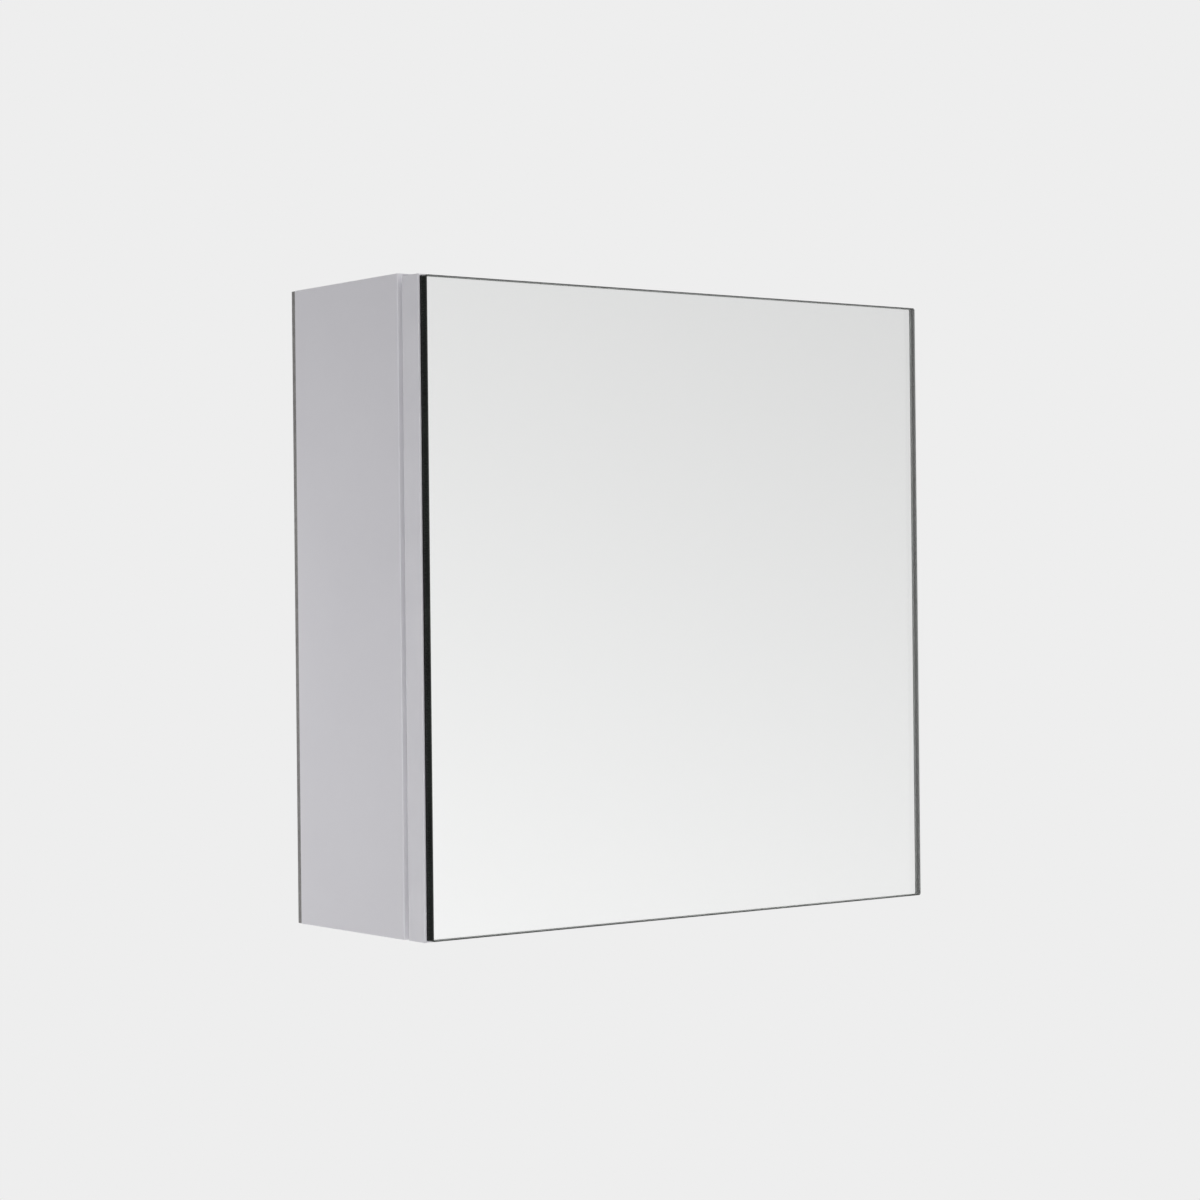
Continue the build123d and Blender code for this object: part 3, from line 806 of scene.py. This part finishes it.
def flushScrew(length, headRadius):
    look = screws["flush"]
    edge = look["headEdge"]
    profile = shankProfile(look, length, look["shank"] - headRadius)
    profile += [(headRadius, -edge), (headRadius - edge, 0.0)]
    return cutCross(lathe(profile, screws["steps"]), look, "flush_screw")


def headPlaces(name, facing):
    # the point on the outer face of each screw in a node
    facing = Vector(facing)
    places = []
    for low, high in solidBoxes(name):
        middle, half = (low + high) / 2, (high - low) / 2
        reach = sum(half[i] * abs(facing[i]) for i in range(3))
        places.append((middle + facing * reach, facing))
    return places


def screwLength(name, facing):
    low, high = solidBoxes(name)[0]
    return sum((high[i] - low[i]) * abs(facing[i]) for i in range(3))


def buildScrews():
    inwards, toWall, right = (-1, 0, 0), (0, 1, 0), (1, 0, 0)
    for name, facing, seed in (
        ("hinge_arm_screws", inwards, 3),
        ("latch_screws", right, 5),
        ("hinge_cup_screws", toWall, 8),
    ):
        mesh = panScrew(screwLength(name, facing))
        setOnPoints(name + "_cross", mesh, headPlaces(name, facing), screws["spin"], seed, name)
    for name, seed in (("back_screws", 11), ("strike_screw", 13)):
        low, high = solidBoxes(name)[0]
        mesh = flushScrew(screwLength(name, toWall), (high.x - low.x) / 2)
        setOnPoints(name + "_cross", mesh, headPlaces(name, toWall), screws["spin"], seed, name)


buildScrews()
print("screws built")

# Cam caps: a pressed rim round a slightly dished middle
camCap = {
    "radius": 7.4 * mm,
    "thick": 1.2 * mm,
    "rim": 0.25 * mm,
    "dish": 0.18 * mm,
    "dishShares": (0.80, 0.76, 0.70, 0.2),  # of the radius, from the rim's inner edge to the middle
    "middleDepth": 0.5,      # share of the dish's depth
    "steps": 48,
}


def buildCamCaps():
    radius, thick, rim, dish = (camCap[key] for key in ("radius", "thick", "rim", "dish"))
    depths = 0.0, -dish, -dish, -dish * camCap["middleDepth"]
    profile = [(radius - rim, -thick), (radius, -thick + rim), (radius, -rim), (radius - rim, 0.0)]
    profile += [(radius * share, depth) for share, depth in zip(camCap["dishShares"], depths)]
    places = []
    for low, high in solidBoxes("cam_caps"):
        up = 1 if low.z > 0 else -1
        middle = (low + high) / 2
        outer = high.z if up > 0 else low.z
        places.append((Vector((middle.x, middle.y, outer)), Vector((0, 0, up))))
    cap = meshFrom(lathe(profile, camCap["steps"]), "cap")
    setOnPoints("cam_caps_pressed", cap, places, 0.0, 1, "cam_caps")


buildCamCaps()
print("cam caps built")

# Pressed and moulded pieces whose edges are broken a little, in mm
softEdges = {
    "shelf_pins_upper": 0.25,
    "shelf_pins_lower": 0.25,
    "hinge_arm_upper": 0.18,
    "hinge_arm_lower": 0.18,
    "hinge_cup_upper": 0.18,
    "hinge_cup_lower": 0.18,
    "latch_housing": 0.35,
    "latch_plunger": 0.15,
    "strike_plate": 0.10,
}
softening = {
    "flatAngle": 0.5,        # degrees up to which faces are one
    "edgeAngle": 40,         # degrees from which an edge is broken
    "segments": 2,
    "sharpAngle": 30,
}


def soften(name, width):
    shape = joinedShape(name)
    bmesh.ops.dissolve_limit(
        shape,
        angle_limit=math.radians(softening["flatAngle"]),
        use_dissolve_boundaries=False,
        verts=shape.verts,
        edges=shape.edges,
    )
    limit = math.radians(softening["edgeAngle"])
    bmesh.ops.bevel(
        shape,
        geom=[edge for edge in shape.edges if edge.is_manifold and edge.calc_face_angle() > limit],
        offset=width,
        offset_type="OFFSET",
        segments=softening["segments"],
        profile=0.5,
        affect="EDGES",
        clamp_overlap=True,
    )
    mesh = meshFrom(shape, name + "_soft", finishFor(name), sharp=softening["sharpAngle"])
    addPiece(name + "_soft", mesh, name)


for nodeName, width in softEdges.items():
    soften(nodeName, width * mm)
print("edges broken on", len(softEdges), "pieces")

# Studio: pale floor, soft lamps, and a world that is plain to the camera and shaded in reflections
studio = {
    "backdrop": 0.855,
    "ambient": (0.285, 0.282, 0.290),
    "sheenLevel": 0.842,     # what the mirror sees at its middle
    "sheenRise": -0.745,     # change towards the top of the room
    "sheenTurn": -0.350,     # change towards the right of the reflection
    "sheenAcross": (0.7815, 0.6239, 0.0),
    "sheenWaves": 7.0,       # both changes come and go in soft waves round the room
    "sheenLimits": (0.62, 0.965),
    "flagTowards": (-0.604, 0.797, 0.0),  # a dark card behind and left, for the glass edges
    "flagEdge": (0.72, 0.93),
    "flagTone": 0.10,
    "floorDrop": 0.90,       # floor below the cabinet's middle
    "floorRadius": 2.2,
    "floorSegments": 96,
    "floorSockets": {"Base Color": (0.80, 0.80, 0.80, 1.0), "Roughness": 0.9, "Specular IOR Level": 0.1},
    "floorFade": (0.7, 1.6),
    "floorHaze": 0.45,       # share of the backdrop that the near floor takes on
    "lampAim": (0, -0.07, 0),
}
# A lamp that isn't mirrored gives light but shows in no reflection
lamps = {
    "key": {"place": (1.1, -1.9, 1.8), "size": 1.8, "power": 14.0, "mirrored": True},
    "fill": {"place": (-1.45, -1.565, -0.62), "size": 0.5, "power": 14.0, "mirrored": False},
    "low": {"place": (-0.5, 0.3, -0.09), "size": 0.4, "power": 0.63, "mirrored": False},
    "rim": {"place": (1.7, 1.3, 1.2), "size": 1.4, "power": 24.0, "mirrored": False},
    "top": {"place": (0.0, -0.07, 1.5), "size": 0.3, "power": 3.7, "mirrored": False},
}


def seenDirectly(tree):
    # camera rays, and rays that come by way of a reflection or a refraction
    path = tree.nodes.new("ShaderNodeLightPath")
    mirrored = combine(tree, "MAXIMUM", path.outputs["Is Glossy Ray"], path.outputs["Is Transmission Ray"])
    return path.outputs["Is Camera Ray"], mirrored


def buildWorld():
    world = bpy.data.worlds.new("studio")
    scene.world = world
    world.use_nodes = True
    tree = world.node_tree
    tree.nodes.clear()
    camera, mirrored = seenDirectly(tree)
    direction = tree.nodes.new("ShaderNodeTexCoord").outputs["Generated"]

    def along(axis):
        dot = tree.nodes.new("ShaderNodeVectorMath")
        dot.operation = "DOT_PRODUCT"
        dot.inputs[1].default_value = axis
        tree.links.new(direction, dot.inputs[0])
        return dot.outputs["Value"]

    def wave(axis, change):
        phase = combine(tree, "MULTIPLY", along(axis), studio["sheenWaves"])
        return combine(tree, "MULTIPLY", combine(tree, "SINE", phase, 0.0), change / studio["sheenWaves"])

    def plainLight(tone):
        light = tree.nodes.new("ShaderNodeBackground")
        light.inputs["Color"].default_value = (*tone, 1.0)
        return light

    rise = wave((0, 0, 1), studio["sheenRise"])
    slope = combine(tree, "ADD", rise, wave(studio["sheenAcross"], studio["sheenTurn"]))
    low, high = studio["sheenLimits"]
    sheen = combine(tree, "ADD", slope, studio["sheenLevel"])
    sheen = combine(tree, "MINIMUM", combine(tree, "MAXIMUM", sheen, low), high)
    flag = spread(tree, along(studio["flagTowards"]), 0.0, 1.0, *studio["flagEdge"])
    dark = (studio["flagTone"],) * 3
    ambient = plainLight(studio["ambient"])
    shaded = tree.nodes.new("ShaderNodeBackground")
    tree.links.new(mixTones(tree, flag, sheen, dark), shaded.inputs["Color"])
    backdrop = plainLight((studio["backdrop"],) * 3)
    inMirror = tree.nodes.new("ShaderNodeMixShader")
    tree.links.new(mirrored, inMirror.inputs["Fac"])
    tree.links.new(ambient.outputs["Background"], inMirror.inputs[1])
    tree.links.new(shaded.outputs["Background"], inMirror.inputs[2])
    toCamera = tree.nodes.new("ShaderNodeMixShader")
    tree.links.new(camera, toCamera.inputs["Fac"])
    tree.links.new(inMirror.outputs["Shader"], toCamera.inputs[1])
    tree.links.new(backdrop.outputs["Background"], toCamera.inputs[2])
    output = tree.nodes.new("ShaderNodeOutputWorld")
    tree.links.new(toCamera.outputs["Shader"], output.inputs["Surface"])


def buildFloor():
    shape = bmesh.new()
    size = {"segments": studio["floorSegments"], "radius": studio["floorRadius"]}
    bmesh.ops.create_circle(shape, cap_ends=True, **size)
    bmesh.ops.translate(shape, verts=shape.verts, vec=(0, 0, -studio["floorDrop"]))
    finish, tree, shader, coords = startFinish("floor", studio["floorSockets"])
    flat = tree.nodes.new("ShaderNodeVectorMath")
    flat.operation = "MULTIPLY"
    flat.inputs[1].default_value = (1, 1, 0)
    tree.links.new(coords.outputs["Object"], flat.inputs[0])
    reach = tree.nodes.new("ShaderNodeVectorMath")
    reach.operation = "LENGTH"
    tree.links.new(flat.outputs["Vector"], reach.inputs[0])
    fade = spread(tree, reach.outputs["Value"], studio["floorHaze"], 1.0, *studio["floorFade"])
    camera, mirrored = seenDirectly(tree)
    share = combine(tree, "MULTIPLY", fade, combine(tree, "MAXIMUM", camera, mirrored))
    clear = tree.nodes.new("ShaderNodeBsdfTransparent")  # far out, the world shows through
    blend = tree.nodes.new("ShaderNodeMixShader")
    tree.links.new(share, blend.inputs["Fac"])
    tree.links.new(shader.outputs["BSDF"], blend.inputs[1])
    tree.links.new(clear.outputs["BSDF"], blend.inputs[2])
    tree.links.new(blend.outputs["Shader"], tree.nodes["Material Output"].inputs["Surface"])
    floor = bpy.data.objects.new("floor", meshFrom(shape, "floor", finish))
    scene.collection.objects.link(floor)


def addLamp(name, look):
    data = bpy.data.lights.new(name, "AREA")
    data.size = look["size"]
    data.energy = look["power"]
    lamp = bpy.data.objects.new(name, data)
    lamp.location = look["place"]
    aim = Vector(studio["lampAim"]) - lamp.location
    lamp.rotation_euler = aim.to_track_quat("-Z", "Y").to_euler()
    lamp.visible_camera = False
    lamp.visible_glossy = lamp.visible_transmission = look["mirrored"]
    scene.collection.objects.link(lamp)


buildWorld()
buildFloor()
for lampName, lampLook in lamps.items():
    addLamp(lampName, lampLook)
print("studio ready")

# Camera at the angle of the photograph
view = {
    "azimuth": -37.16,
    "elevation": 0.087,
    "roll": 0.61,
    "distance": 1.9572,
    "aside": 0.0338,         # camera stands this far to its right, and up
    "up": 0.0028,
    "lens": 87.01,
    "sensor": 36.0,
}


def buildCamera():
    turn, tilt = math.radians(view["azimuth"]), math.radians(view["elevation"])
    back = Vector((math.sin(turn) * math.cos(tilt), -math.cos(turn) * math.cos(tilt), math.sin(tilt)))
    lean = Matrix.Rotation(math.radians(view["roll"]), 3, -back)
    right = lean @ (-back).cross(Vector((0, 0, 1))).normalized()
    up = back.cross(right)
    data = bpy.data.cameras.new("photo_view")
    data.lens = view["lens"]
    data.sensor_width = view["sensor"]
    camera = bpy.data.objects.new("photo_view", data)
    place = back * view["distance"] + right * view["aside"] + up * view["up"]
    camera.matrix_world = Matrix.Translation(place) @ Matrix((right, up, back)).transposed().to_4x4()
    scene.collection.objects.link(camera)
    scene.camera = camera


buildCamera()
scene.view_settings.view_transform = "Standard"
